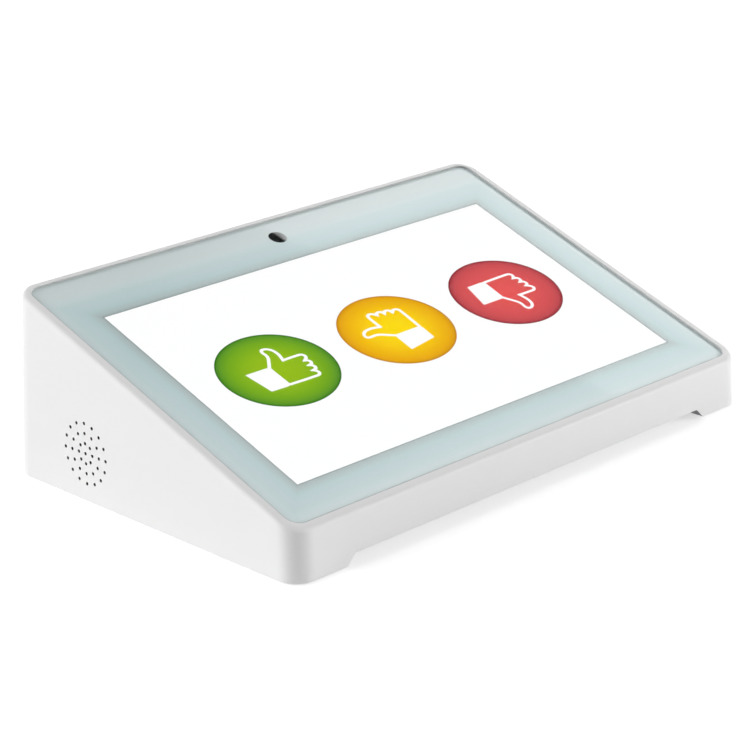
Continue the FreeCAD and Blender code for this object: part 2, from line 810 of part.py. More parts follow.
def make_speaker(side, name):
    inwards = Vector(-side, 0, 0)
    seat = Vector(side * seat_face, grille_y, grille_height)
    gasket_radius = screw_circle - screw_head_radius - hole_clearance / 2
    save("speaker_gasket_" + name, ring(seat, inwards, gasket_radius, seat_bore, gasket_thickness))

    front = seat + inwards * gasket_thickness
    back = front + inwards * speaker_depth
    basket = rod(front, inwards, speaker_radius - cone_rim_width / 2, speaker_depth)
    flange = rod(front, inwards, speaker_radius, speaker_flange)
    holes = []
    for y, z in speaker_screw_places():
        ear_start = Vector(front.x, y, z)
        flange = flange.fuse(rod(ear_start, inwards, screw_head_radius, speaker_flange))
        holes.append(rod(ear_start, inwards, screw_radius + hole_clearance, speaker_flange))
    basket = basket.fuse(flange).removeSplitter().cut(holes)
    throat = magnet_radius - cone_rim_width
    mouth = speaker_radius - cone_rim_width
    hollow = Part.makeCone(mouth, throat, cone_depth, front, inwards)
    well = rod(front + inwards * cone_depth, inwards, throat, speaker_depth - cone_depth)
    save("speaker_basket_" + name, basket.cut([hollow, well]))

    outer = Part.makeCone(mouth, throat, cone_depth, front, inwards)
    inner = Part.makeCone(mouth - cone_thickness, throat - cone_thickness, cone_depth, front, inwards)
    cap_depth = cone_depth / 2
    cap = rod(front + inwards * (cone_depth - cap_depth / 2), inwards, throat, cap_depth / 2)
    save("speaker_cone_" + name, outer.cut(inner).fuse(cap).removeSplitter())
    magnet = rod(back, inwards, magnet_radius, magnet_thickness)
    pole = rod(front + inwards * cone_depth, inwards, throat - hole_clearance, speaker_depth - cone_depth)
    save("speaker_magnet_" + name, magnet.fuse(pole).removeSplitter())

    # Two-core lead from the back of the basket down to its plug on the main board
    plug_x = side * (board_width / 2 - board_hole_inset - plug_width)
    lead_y = grille_y + (magnet_radius + speaker_radius - cone_rim_width / 2) / 2
    high = grille_height + speaker_tag_height
    low = board_top + plug_height / 2
    end_x = plug_x + side * plug_width / 2
    run = (back.x - end_x) / 4
    points = [Vector(back.x, lead_y, high), Vector(back.x - run, lead_y, high),
              Vector(end_x + run, lead_y, low), Vector(end_x, lead_y, low)]
    save("speaker_lead_" + name, lead(points, speaker_lead_diameter))
    plug = block(plug_x, lead_y, board_top, plug_width, plug_length, plug_height)
    screws = []
    for y, z in speaker_screw_places():
        place = Vector(front.x, y, z) + inwards * speaker_flange
        screws.append(small_screw(place, inwards * -1, speaker_flange))
    return plug, screws


# ---------------------------------------------------------------- main board and leads

def make_board(plugs):
    board = block(0, board_middle, board_bottom, board_width, board_length, board_thickness)
    screws = []
    holes = []
    for p in board_screw_places():
        holes.append(rod(p - up * past, up, screw_radius + hole_clearance, board_thickness + 2 * past))
        screws.append(small_screw(p + up * board_thickness, up * -1, board_thickness))
    save("main_board", board.cut(holes))
    save("board_screws", *screws)
    save("board_plugs", *plugs)
    save("processor_chip", block(0, chip_y, board_top, chip_size, chip_size, chip_thickness))
    pad_z = board_top + chip_thickness
    save("thermal_pad", block(0, chip_y, pad_z, chip_size, chip_size, thermal_pad_thickness))
    sink_z = pad_z + thermal_pad_thickness
    sink = block(0, chip_y, sink_z, sink_size, sink_size, sink_base)
    pitch = (sink_size - sink_fin_thickness) / (sink_fins - 1)
    fins = []
    for i in range(sink_fins):
        x = -sink_size / 2 + sink_fin_thickness / 2 + i * pitch
        fins.append(block(x, chip_y, sink_z, sink_fin_thickness, sink_size, sink_height))
    save("heat_sink", sink.fuse(fins).removeSplitter())


def ribbon_plug(x, y, width):
    """Low connector that takes a flat lead from above."""
    return block(x, y, board_top, width + 2 * plug_margin, plug_length, plug_height)


def make_ribbons():
    """Flat leads of the display, touch board and camera. Gives back their connectors on the main board."""
    plugs = []

    # Display: from the board on the tray, down to the main board
    edge_v = display_board_v - display_board_length / 2
    start = deck.multVec(Vector(0, edge_v, tray_back - board_sheet / 2))
    on = deck.multVec(Vector(0, edge_v - ribbon_run, tray_back - board_sheet / 2))
    points = [(start.y, start.z), (on.y, on.z), (front_plug_y, on.z - ribbon_run), (front_plug_y, plug_top)]
    save("display_ribbon", ribbon(points, display_ribbon_x, ribbon_width, ribbon_bend))
    plugs.append(ribbon_plug(display_ribbon_x, front_plug_y, ribbon_width))

    # Touch: round the front edge of the tray to the touch board, then down
    tray_front = active_middle - tray_length / 2
    sensor_front = active_middle - active_length / 2 - cell_border
    level = cell_top + sensor_thickness / 2
    fold = tray_front - window_clearance / 2
    under = tray_back - board_sheet - ribbon_thickness / 2
    around = [(sensor_front, level), (fold, level), (fold, under), (touch_board_v, under)]
    wrap = put(ribbon(around, touch_x, small_ribbon_width, ribbon_fold), deck)
    start = deck.multVec(Vector(touch_x, touch_board_v + touch_board_length / 2, tray_back - board_sheet / 2))
    on = deck.multVec(Vector(touch_x, touch_board_v + touch_board_length, tray_back - board_sheet / 2))
    points = [(start.y, start.z), (on.y, on.z), (front_plug_y, (on.z + plug_top) / 2),
              (front_plug_y, plug_top)]
    tail = ribbon(points, touch_x, small_ribbon_width, ribbon_tight_bend)
    save("touch_ribbon", wrap, tail)
    plugs.append(ribbon_plug(touch_x, front_plug_y, small_ribbon_width))

    # Camera: straight down from its board to the main board
    start = deck.multVec(Vector(0, camera_v, camera_board_top - board_sheet))
    drop = (start.z - plug_top) / 3
    under = deck.multVec(Vector(0, camera_v, camera_board_top - board_sheet - drop))
    points = [(start.y, start.z), (under.y, under.z), (rear_plug_y, plug_top + drop), (rear_plug_y, plug_top)]
    save("camera_ribbon", ribbon(points, 0, small_ribbon_width, ribbon_bend))
    plugs.append(ribbon_plug(0, rear_plug_y, small_ribbon_width))
    return plugs


def make_antenna():
    """Antenna strip on the inside of the rear wall, and its lead to the main board."""
    strip = Part.makeBox(antenna_width, antenna_thickness, antenna_height,
                         Vector(-antenna_width / 2, -wall - antenna_thickness, antenna_from_foot))
    save("antenna_strip", put(strip, rear))
    x = -antenna_width / 3
    off_wall = -wall - antenna_thickness - antenna_lead_diameter / 2
    start = rear.multVec(Vector(x, off_wall, antenna_from_foot + antenna_height / 4))
    plug_x = x - plug_width
    fall = (start.z - plug_top) / 4
    along_wall = rear.multVec(Vector(x, off_wall, antenna_from_foot + antenna_height / 4 - fall))
    points = [start, along_wall, Vector(x, start.y - fall / 2, start.z - 2 * fall),
              Vector(plug_x, rear_plug_y, plug_top + fall), Vector(plug_x, rear_plug_y, plug_top)]
    save("antenna_lead", lead(points, antenna_lead_diameter))
    return block(plug_x, rear_plug_y, board_top, plug_length, plug_length, plug_height)


# ---------------------------------------------------------------- port plate, sockets and keys

def panel_y(z):
    """Outer face of the port plate's panel at a height."""
    return rear_y - rear_lean * (z - foot_lift) - plate_recess / cos_lean


def mouth_y(height):
    """Mouth of a socket of this height on the main board, just inside the panel's outer face."""
    return panel_y(board_top + height) - socket_clearance


def socket_body(x, width, length, height):
    face = mouth_y(height)
    return block(x, face - length / 2, board_top, width, length, height)


def socket_hole(x, width, height):
    """Cut in the panel that clears a socket."""
    gap = 2 * socket_clearance
    return block(x, rear_y, board_top - socket_clearance, width + gap, 2 * through, height + gap)


def make_sockets():
    # DC inlet: round bore with a centre pin
    face = mouth_y(inlet_height)
    axis_z = board_top + inlet_height / 2
    inlet = socket_body(inlet_x, inlet_width, inlet_length, inlet_height)
    inlet = inlet.cut(rod(Vector(inlet_x, face - inlet_bore_depth, axis_z), rearwards, inlet_bore_radius,
                          inlet_bore_depth))
    pin_length = inlet_bore_depth - inlet_pin_setback
    pin = rod(Vector(inlet_x, face - inlet_bore_depth, axis_z), rearwards, inlet_pin_radius, pin_length)
    save("dc_inlet", inlet.fuse(pin).removeSplitter())

    # Network socket: square mouth with a latch slot above it
    face = mouth_y(network_height)
    network = socket_body(network_x, network_width, network_length, network_height)
    mouth_z = board_top + network_floor
    mouth = block(network_x, face - network_mouth_depth / 2, mouth_z, network_mouth_width,
                  network_mouth_depth, network_mouth_height)
    latch = block(network_x, face - network_mouth_depth / 2, mouth_z + network_mouth_height,
                  network_latch_width, network_mouth_depth, network_latch_height)
    save("network_socket", network.cut([mouth, latch]))

    # USB sockets: sheet shell with a tongue in the upper half of the mouth
    face = mouth_y(usb_height)
    for number, x in enumerate(usb_x, start=1):
        body = socket_body(x, usb_width, usb_length, usb_height)
        mouth = block(x, face - usb_mouth_depth / 2, board_top + usb_shell, usb_width - 2 * usb_shell,
                      usb_mouth_depth, usb_height - 2 * usb_shell)
        tongue_length = usb_mouth_depth - usb_tongue_setback
        tongue = block(x, face - usb_mouth_depth + tongue_length / 2,
                       board_top + usb_height / 2, usb_tongue_width, tongue_length, usb_tongue_thickness)
        save("usb_socket_%d" % number, body.cut(mouth).fuse(tongue).removeSplitter())

    # Earphone socket
    face = mouth_y(audio_height)
    audio = socket_body(audio_x, audio_width, audio_length, audio_height)
    bore = rod(Vector(audio_x, face - audio_bore_depth, board_top + audio_height / 2), rearwards,
               audio_bore_radius, audio_bore_depth)
    save("audio_socket", audio.cut(bore))


def round_key(x, grow, y_from, y_to):
    return rod(Vector(x, y_from, plate_middle), rearwards, power_radius + grow, y_to - y_from)


def bar_key(x, grow, y_from, y_to):
    return slab_y(x, plate_middle, y_from, volume_width + 2 * grow, volume_height + 2 * grow, y_to - y_from,
                  volume_corner + grow)


def make_keys():
    """Power key and two volume keys, each with the plunger of its switch. Gives back the holes for them."""
    holes = []
    switches = []
    for name, x, form in (("power", power_x, round_key), ("volume_up", volume_up_x, bar_key),
                          ("volume_down", volume_down_x, bar_key)):
        holes.append(form(x, key_gap, panel_back - past, panel_front + past))
        cap = form(x, 0, key_flange_back, panel_front + key_proud)
        outer = [e for e in cap.Edges if e.BoundBox.YMin > panel_front + key_proud - key_round]
        cap = cap.makeFillet(key_round, outer)
        flange = form(x, key_flange_lip, key_flange_back, key_flange_front)
        stem = rod(Vector(x, stem_end, plate_middle), rearwards, key_stem_radius, key_stem_length)
        save(name + "_key", put(cap.fuse([flange, stem]).removeSplitter(), rear))
        plunger_end = switch_front - plunger_inside
        plunger = rod(Vector(x, plunger_end, plate_middle), rearwards, plunger_radius, stem_end - plunger_end)
        save(name + "_plunger", put(plunger, rear))
        body = slab_y(x, plate_middle, switch_back, switch_size, switch_size, switch_height, switch_corner)
        well = rod(Vector(x, plunger_end - key_travel - key_gap, plate_middle), rearwards,
                   plunger_radius + key_gap, switch_height)
        switches.append(put(body.cut(well), rear))
    save("key_switches", *switches)
    return holes


def make_port_plate(key_holes):
    """Panel that fills the window in the rear wall from inside, with a flange, two ears and two posts."""
    fill = slab_y(0, plate_middle, flange_back, plate_width - 2 * plate_fit, plate_height - 2 * plate_fit,
                  panel_front - flange_back, plate_corner - plate_fit)
    flange = slab_y(0, plate_middle, flange_back, plate_width + 2 * plate_flange_side,
                    plate_height + 2 * plate_flange_edge, plate_flange, plate_corner)
    ears = slab_y(0, plate_middle, flange_back, 2 * ear_x + ear_length, ear_length, plate_flange,
                  plate_corner)
    sleeve = plate_fit + plate_wall
    hollow = slab_y(0, plate_middle, flange_back - past, plate_width - 2 * sleeve, plate_height - 2 * sleeve,
                    panel_back - flange_back + past, plate_corner - plate_fit)
    cuts = [hollow] + key_holes
    screws = []
    for side in (-1, 1):
        seat = Vector(side * ear_x, flange_back, plate_middle)
        cuts.append(rod(seat, rearwards, screw_radius + hole_clearance, plate_flange))
        screws.append(put(small_screw(seat, rearwards, plate_flange), rear))
    plate = fill.fuse([flange, ears]).removeSplitter().cut(cuts)

    board = Part.makeBox(key_board_width, board_sheet, key_board_height,
                         Vector(key_board_x - key_board_width / 2, switch_back - board_sheet,
                                plate_middle - key_board_height / 2))
    pilots = []
    for x in (left_post_x, right_post_x):
        plate = plate.fuse(rod(Vector(x, switch_back, plate_middle), rearwards, key_post_radius,
                               panel_back - switch_back))
        pilots.append(rod(Vector(x, switch_back, plate_middle), rearwards, screw_radius, screw_bite))
        board = board.cut(rod(Vector(x, switch_back - 2 * board_sheet, plate_middle), rearwards,
                              screw_radius + hole_clearance, 3 * board_sheet))
        screws.append(put(small_screw(Vector(x, switch_back - board_sheet, plate_middle), rearwards,
                                      board_sheet), rear))
    plate = put(plate.cut(pilots), rear)
    holes = [socket_hole(inlet_x, inlet_width, inlet_height),
             socket_hole(network_x, network_width, network_height),
             socket_hole(audio_x, audio_width, audio_height)]
    holes += [socket_hole(x, usb_width, usb_height) for x in usb_x]
    save("port_plate", plate.cut(holes))
    save("key_board", put(board, rear))
    save("port_screws", *screws)


# ---------------------------------------------------------------- build everything

os.makedirs("parts", exist_ok=True)
make_housing()
make_base()
make_glass()
make_display()
left_plug, left_screws = make_speaker(-1, "left")
right_plug, right_screws = make_speaker(1, "right")
save("speaker_screws", *(left_screws + right_screws))
ribbon_plugs = make_ribbons()
antenna_plug = make_antenna()
make_board([left_plug, right_plug, antenna_plug] + ribbon_plugs)
make_sockets()
make_port_plate(make_keys())
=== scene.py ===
import math

import bmesh
import bpy
from mathutils import Matrix, Vector


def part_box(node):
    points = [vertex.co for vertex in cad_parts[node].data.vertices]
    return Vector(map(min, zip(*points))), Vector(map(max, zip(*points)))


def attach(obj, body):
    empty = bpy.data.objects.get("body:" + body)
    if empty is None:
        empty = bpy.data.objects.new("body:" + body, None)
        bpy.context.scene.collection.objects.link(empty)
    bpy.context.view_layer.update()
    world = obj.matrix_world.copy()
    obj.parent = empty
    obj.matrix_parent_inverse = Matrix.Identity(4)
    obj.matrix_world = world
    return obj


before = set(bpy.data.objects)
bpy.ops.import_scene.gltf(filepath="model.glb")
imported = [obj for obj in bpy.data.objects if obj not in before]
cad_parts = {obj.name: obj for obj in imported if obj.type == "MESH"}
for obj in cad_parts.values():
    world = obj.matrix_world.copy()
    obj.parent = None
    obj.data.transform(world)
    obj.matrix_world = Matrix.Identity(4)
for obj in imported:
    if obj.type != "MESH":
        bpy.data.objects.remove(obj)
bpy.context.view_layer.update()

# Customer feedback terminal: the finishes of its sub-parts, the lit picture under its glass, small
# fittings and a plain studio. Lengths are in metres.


# ------------------------------------------------------------------------------------------------
# Casing: upper shell, and the base cover that closes it from below.
# Both are white ABS, injection-moulded in a mould that is spark-eroded to a fine satin grain. The
# cover is held by screws in columns of the shell.

mm = 0.001
mix_a, mix_b, mixed = 6, 7, 2    # the two inputs and the result of a Mix node of colours
halfway = 0.5                    # between 0, no, and 1, yes, in a mask


def linear(code):
    """sRGB hex colour as linear RGBA."""
    channels = [int(code[i:i + 2], 16) / 255 for i in (1, 3, 5)]
    return [c / 12.92 if c <= 0.04045 else ((c + 0.055) / 1.055) ** 2.4 for c in channels] + [1.0]


def blank(held):
    """A new material or world, cleared of its nodes."""
    held.use_nodes = True
    held.node_tree.nodes.clear()
    return held


def add(held, kind, settings=None, values=None, links=None):
    """Adds a shader node with its settings, unlinked input values and links."""
    tree = held.node_tree
    made = tree.nodes.new("ShaderNode" + kind)
    for name, value in (settings or {}).items():
        setattr(made, name, value)
    for name, value in (values or {}).items():
        made.inputs[name].default_value = value
    for name, source in (links or {}).items():
        tree.links.new(source, made.inputs[name])
    return made


def part_of(held, kind):
    """The first node of a kind in a material."""
    return next(n for n in held.node_tree.nodes if n.bl_idname == "ShaderNode" + kind)


def finish(name, colour, roughness, grain, depth, mottle, ior=1.5, metallic=0.0,
           stretch=(1.0, 1.0, 1.0)):
    """A material with its Principled shader. grain and depth are the size and height of the surface
    grain in mm, mottle is how far colour and roughness stray from their mean, and a stretch under 1
    draws the grain out along that axis."""
    material = blank(bpy.data.materials.new(name))
    place = add(material, "TexCoord").outputs["Object"]
    along = add(material, "Mapping", values={"Scale": stretch}, links={"Vector": place})
    cloud_size = 40 * mm
    clouds = add(material, "TexNoise", values={"Scale": 1 / cloud_size, "Detail": 3.0},
                 links={"Vector": place})
    grains = add(material, "TexNoise", values={"Scale": 1 / (grain * mm), "Detail": 2.0},
                 links={"Vector": along.outputs["Vector"]})
    full = linear(colour)
    worn = [c * (1 - mottle) for c in full[:3]] + [1.0]
    tint = add(material, "Mix", {"data_type": "RGBA"}, values={mix_a: worn, mix_b: full},
               links={"Factor": clouds.outputs["Fac"]})
    stray = 3 * mottle               # roughness strays three times as far as the colour
    sheen = add(material, "MapRange", values={"To Min": roughness * (1 - stray),
                                              "To Max": min(1.0, roughness * (1 + stray))},
                links={"Value": grains.outputs["Fac"]})
    bump = add(material, "Bump", values={"Strength": 1.0, "Distance": depth * mm},
               links={"Height": grains.outputs["Fac"]})
    shader = add(material, "BsdfPrincipled", values={"Metallic": metallic, "IOR": ior},
                 links={"Base Color": tint.outputs[mixed], "Roughness": sheen.outputs["Result"],
                        "Normal": bump.outputs["Normal"]})
    add(material, "OutputMaterial", links={"Surface": shader.outputs["BSDF"]})
    return material


def paint_shade_or_sheen(material, mask, code):
    """Paints another colour on a finish where a mask is 1: painted shade or a painted sheen."""
    base = part_of(material, "BsdfPrincipled").inputs["Base Color"]
    tone = add(material, "Mix", {"data_type": "RGBA"}, values={mix_b: linear(code)},
               links={"Factor": mask, mix_a: base.links[0].from_socket})
    material.node_tree.links.new(tone.outputs[mixed], base)


def wear(material, *nodes):
    """Gives carried-over CAD nodes their finish."""
    for name in nodes:
        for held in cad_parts[name].material_slots:
            held.material = material


# Satin ABS: plain white with soft, wide highlights and no sharp reflections. Its IOR is about 1.54.
# The grain is a few microns deep, and drawn 0.25 mm wide, coarser than real, so that it shows.
white_abs = finish("white_abs_satin", "#ececec", 0.42, ior=1.54, grain=0.25, depth=0.003,
                   mottle=0.012)
wear(white_abs, "housing", "base_cover")

# Painted shade: the narrow bores of the grilles are coloured dark grey, as the shade in them. Their
# faces lie in a side wall, within reach of a grille's middle, and don't look sideways as the wall's
# own faces do.
seat_low, seat_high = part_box("speaker_gasket_right")
grille_middle = (seat_low + seat_high) / 2
grille_reach = 14.3 * mm
seat_margin = 1 * mm
spot = part_of(white_abs, "TexCoord").outputs["Object"]
from_grille = add(white_abs, "VectorMath", {"operation": "SUBTRACT"}, values={1: grille_middle},
                  links={0: spot})
along_wall = add(white_abs, "VectorMath", {"operation": "MULTIPLY"}, values={1: (0, 1, 1)},
                 links={0: from_grille.outputs["Vector"]})
span = add(white_abs, "VectorMath", {"operation": "LENGTH"},
           links={0: along_wall.outputs["Vector"]})
near_grille = add(white_abs, "Math", {"operation": "LESS_THAN"}, values={1: grille_reach},
                  links={0: span.outputs["Value"]})
outward = add(white_abs, "VectorMath", {"operation": "ABSOLUTE"},
              links={0: add(white_abs, "NewGeometry").outputs["True Normal"]})
sideways = add(white_abs, "VectorMath", {"operation": "DOT_PRODUCT"}, values={1: (1, 0, 0)},
               links={0: outward.outputs["Vector"]})
bored = add(white_abs, "Math", {"operation": "LESS_THAN"}, values={1: halfway},
            links={0: sideways.outputs["Value"]})
off_middle = add(white_abs, "VectorMath", {"operation": "ABSOLUTE"}, links={0: spot})
off_axes = add(white_abs, "SeparateXYZ", links={"Vector": off_middle.outputs["Vector"]})
in_wall = add(white_abs, "Math", {"operation": "GREATER_THAN"},
              values={1: seat_high.x - seat_margin}, links={0: off_axes.outputs["X"]})
bore_shade_mask = near_grille.outputs["Value"]
for test in (bored, in_wall):
    bore_shade_mask = add(white_abs, "Math", {"operation": "MULTIPLY"},
                    links={0: bore_shade_mask, 1: test.outputs["Value"]}).outputs["Value"]
# painted shade in the grille bores
paint_shade_or_sheen(white_abs, bore_shade_mask, "#4b4c4d")

# Painted shade: the ceiling and the sloping ends of the finger hold under the front edge are
# coloured grey, as the shade in it. All faces in one box, whose inside is cell (0, 0, 0) of a grid
hold_low = Vector((-112.0, -89.5, 1.2)) * mm
hold_high = Vector((112.0, -75.6, 5.6)) * mm
cell = spot
for step, value in (("SUBTRACT", (hold_low + hold_high) / 2),
                    ("DIVIDE", (hold_high - hold_low) / 2),
                    ("ABSOLUTE", (0, 0, 0)), ("FLOOR", (0, 0, 0))):
    cell = add(white_abs, "VectorMath", {"operation": step}, values={1: value},
               links={0: cell}).outputs["Vector"]
cells_off = add(white_abs, "VectorMath", {"operation": "LENGTH"}, links={0: cell})
in_hold_shade = add(white_abs, "Math", {"operation": "LESS_THAN"}, values={1: halfway},
              links={0: cells_off.outputs["Value"]})
# painted shade in the finger hold
paint_shade_or_sheen(white_abs, in_hold_shade.outputs["Value"], "#8a8a8b")


# ------------------------------------------------------------------------------------------------
# Screws of the base cover, boards, display, speakers and port plate, and four rubber feet.
# The screws are turned steel, cross-slotted and nickel-plated. The feet are punched from rubber
# sheet and pressed into round recesses.

# Nickel plate: light grey metal with small, bright glints
screw_steel = finish("nickel_plated_steel", "#b9b9ba", 0.28, metallic=1.0, grain=0.12, depth=0.001,
                     mottle=0.04)
# Matt rubber: a dull near-black that shows hardly any highlight
black_rubber = finish("matt_rubber", "#262626", 0.85, ior=1.52, grain=0.5, depth=0.02, mottle=0.06)
wear(screw_steel, "base_screws", "board_screws", "display_screws", "speaker_screws", "port_screws")
wear(black_rubber, "rubber_feet")


# ------------------------------------------------------------------------------------------------
# Circuit boards: main, display, touch, camera and key boards, and the antenna's strip.
# Glass-fibre laminate under green solder mask, routed from panels and screwed or taped down.

# Solder mask: deep green with a soft gloss, over the faint weave of 0.5 mm threads
weave_thread = 0.5
solder_mask = finish("green_solder_mask", "#17512f", 0.3, ior=1.55, grain=weave_thread,
                     depth=0.006, mottle=0.08, stretch=(1.0, 0.25, 1.0))
wear(solder_mask, "main_board", "display_board", "touch_board", "camera_board", "key_board",
     "antenna_strip")


# ------------------------------------------------------------------------------------------------
# On the main board: processor under its pad and heat sink, and the connectors.
# The chip is moulded epoxy, the pad soft silicone, the sink extruded aluminium, and the connector
# shells are moulded nylon. The sink presses the pad on the chip.

# Moulded epoxy: flat dark grey, faintly sandy
chip_resin = finish("moulded_epoxy", "#2a2a2b", 0.6, ior=1.55, grain=0.15, depth=0.004, mottle=0.05)
# Filled silicone: pale blue-grey and dull, like putty
silicone_pad = finish("thermal_silicone", "#9aa6b4", 0.7, ior=1.41, grain=0.4, depth=0.01,
                      mottle=0.05)
# Extruded aluminium: bright satin metal with lines drawn out along its fins
sink_alloy = finish("extruded_aluminium", "#c9cbce", 0.36, metallic=1.0, grain=0.3, depth=0.004,
                    mottle=0.04, stretch=(1.0, 0.02, 1.0))
# Moulded nylon: warm, milky white with a soft shine
white_nylon = finish("white_nylon", "#e6e3d8", 0.5, ior=1.53, grain=0.3, depth=0.005, mottle=0.04)
wear(chip_resin, "processor_chip")
wear(silicone_pad, "thermal_pad")
wear(sink_alloy, "heat_sink")
wear(white_nylon, "board_plugs")


# ------------------------------------------------------------------------------------------------
# Leads: flat leads of the display, touch board and camera, and round speaker and antenna leads.
# The flat ones are laminated polyimide film over copper tracks, and the round ones have an extruded
# PVC cover. All are plugged in or soldered at both ends.

# Polyimide over copper: clear amber, streaked along the tracks, which are 0.5 mm apart
track_pitch = 0.5
amber_film = finish("polyimide_film", "#b5712d", 0.3, ior=1.7, grain=track_pitch, depth=0.01,
                    mottle=0.1, stretch=(1.0, 0.03, 0.03))
# PVC: soft black with a wide, waxy highlight
pvc_cover = finish("pvc_lead_cover", "#2b2b2c", 0.45, ior=1.54, grain=0.4, depth=0.006, mottle=0.05)
wear(amber_film, "display_ribbon", "touch_ribbon", "camera_ribbon")
wear(pvc_cover, "antenna_lead", "speaker_lead_left", "speaker_lead_right")


# ------------------------------------------------------------------------------------------------
# Speakers: one behind each side grille, screwed down on a foam ring.
# Moulded baskets, pressed paper cones, foam rings punched from sheet, and plated magnets.

# Moulded ABS: near black with a dim, wide highlight
black_moulding = finish("black_abs", "#1d1d1f", 0.5, ior=1.54, grain=0.3, depth=0.006, mottle=0.05)
# Coated paper: dull charcoal with a soft fibre grain
cone_paper = finish("coated_paper", "#303030", 0.8, ior=1.5, grain=0.8, depth=0.03, mottle=0.12)
# Closed-cell foam: finely pitted and without any shine
closed_foam = finish("closed_cell_foam", "#2c2c2c", 0.95, ior=1.45, grain=0.7, depth=0.08,
                     mottle=0.1)
# Zinc-plated magnet: grey metal, a little cloudy
magnet_plate = finish("plated_magnet", "#8d8e90", 0.35, metallic=1.0, grain=0.3, depth=0.003,
                      mottle=0.06)
for side in ("left", "right"):
    wear(black_moulding, "speaker_basket_" + side)
    wear(cone_paper, "speaker_cone_" + side)
    wear(closed_foam, "speaker_gasket_" + side)
    wear(magnet_plate, "speaker_magnet_" + side)


# ------------------------------------------------------------------------------------------------
# Port plate, sockets and the key board's switches.
# The plate is moulded ABS, screwed on from inside. The sockets are moulded plastic on the main
# board, and the USB ones have a shell folded from plated sheet.

# Satin ABS in pale grey: the casing's grain, a shade darker than the wall round it
grey_abs = finish("grey_abs_satin", "#d2d4d5", 0.45, ior=1.54, grain=0.25, depth=0.003, mottle=0.02)
# Zinc-plated sheet: cool grey metal, streaked the way it was rolled
plated_sheet = finish("zinc_plated_sheet", "#b4b6b8", 0.33, metallic=1.0, grain=0.2, depth=0.002,
                      mottle=0.05, stretch=(1.0, 0.05, 0.05))
wear(grey_abs, "port_plate")
wear(black_moulding, "dc_inlet", "network_socket", "audio_socket", "key_switches")
wear(plated_sheet, "usb_socket_1", "usb_socket_2")


# ------------------------------------------------------------------------------------------------
# Contacts in the sockets: eight sprung wires for the network, four flat strips under each tongue of
# the USB ones, and the sleeve on the power inlet's pin. All are bronze with a thin plating of gold
# or nickel, pressed into the mouldings.

# Gold plate: small warm yellow glints in the dark mouths
gold_plate = finish("gold_plating", "#e0b458", 0.22, metallic=1.0, grain=0.1, depth=0.001,
                    mottle=0.04)


def set_up(name, data, place):
    """A new object of the scene at its place."""
    made = bpy.data.objects.new(name, data)
    bpy.context.scene.collection.objects.link(made)
    made.matrix_world = place
    return made


def solid_piece(name, mesh_maker, material, body, place=Matrix.Identity(4)):
    """A piece from a function that fills a bmesh, put in place and riding on a body."""
    form = bmesh.new()
    mesh_maker(form)
    bmesh.ops.recalc_face_normals(form, faces=form.faces)
    mesh = bpy.data.meshes.new(name)
    form.to_mesh(mesh)
    form.free()
    mesh.materials.append(material)
    piece = set_up(name, mesh, place)
    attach(piece, body)


def skin(form, rings):
    """A solid from rings of vertices: faces from each ring to the next, and one at each end."""
    for a, b in zip(rings, rings[1:]):
        for i in range(len(a)):
            j = (i + 1) % len(a)
            form.faces.new((a[i], a[j], b[j], b[i]))
    form.faces.new(rings[0])
    form.faces.new(rings[-1])


def stroke(form, path, width, low, high):
    """A flat line of one width along a path of (x, y), from low to high."""
    points = [Vector(point) for point in path]
    ways = [(b - a).normalized() for a, b in zip(points, points[1:])]
    sharpest = 0.5                   # keeps the mitre of a sharp corner short
    rings = []
    for here, back, on in zip(points, ways[:1] + ways, ways + ways[-1:]):
        along = (back + on).normalized()
        across = Vector((-along.y, along.x)) * (width / 2 / max(along.dot(on), sharpest))
        left, right = here + across, here - across
        rings.append([form.verts.new((p.x, p.y, z)) for p, z in (
            (left, high), (right, high), (right, low), (left, low))])
    skin(form, rings)


def contacts(form):
    """Sprung wires that rise from the floor of the network socket's mouth, on the way inwards."""
    low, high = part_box("network_socket")
    middle = (low.x + high.x) / 2
    mouth_floor = low.z + 1.6 * mm
    wire = 0.45 * mm
    pitch = 1.02 * mm
    bends = ((2.5, 0.15), (4.0, 0.9), (10.5, 3.0))    # mm in from the mouth, and over its floor
    for i in range(8):
        x = middle + (i - 3.5) * pitch
        rings = []
        for inwards, rise in bends:
            y, z = high.y - inwards * mm, mouth_floor + rise * mm
            rings.append([form.verts.new(c) for c in (
                (x - wire / 2, y, z), (x + wire / 2, y, z),
                (x + wire / 2, y, z + wire / 2), (x - wire / 2, y, z + wire / 2))])
        skin(form, rings)


solid_piece("network_contacts", contacts, gold_plate, "casing")


def usb_strips(node):
    """Four flat strips on the lower face of a USB tongue."""
    def make(form):
        low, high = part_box(node)
        middle = (low.x + high.x) / 2
        tongue = (low.z + high.z) / 2
        pitch = 2.5 * mm
        strip_front = high.y - 2.9 * mm
        strip_length = 5.5 * mm
        strip_width = 1.1 * mm
        strip_thickness = 0.12 * mm
        for i in range(4):
            x = middle + (i - 1.5) * pitch
            stroke(form, [(x, strip_front), (x, strip_front - strip_length)], strip_width,
                   tongue - strip_thickness, tongue)
    return make


for number in (1, 2):
    solid_piece("usb_contacts_%d" % number, usb_strips("usb_socket_%d" % number), gold_plate,
                "casing")


def pin_sleeve(form):
    """Thin tube over the inlet's centre pin, with a domed end."""
    low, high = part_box("dc_inlet")
    middle = (low + high) / 2
    pin_end = high.y - 2.4 * mm
    radius = 1.05 * mm
    sleeve_length = 6.8 * mm
    dome_start = 0.5 * mm
    dome_height = 0.6 * mm
    profile = [(pin_end - sleeve_length, radius), (pin_end - dome_start, radius)]
    for i in range(1, 4):
        turn = i * math.pi / 8
        profile.append((pin_end - dome_start + dome_height * math.sin(turn),
                        radius * math.cos(turn)))
    steps = 24
    turns = [2 * math.pi * i / steps for i in range(steps)]
    skin(form, [[form.verts.new((middle.x + r * math.cos(turn), y, middle.z + r * math.sin(turn)))
                 for turn in turns] for y, r in profile])


solid_piece("inlet_pin_sleeve", pin_sleeve, screw_steel, "casing")


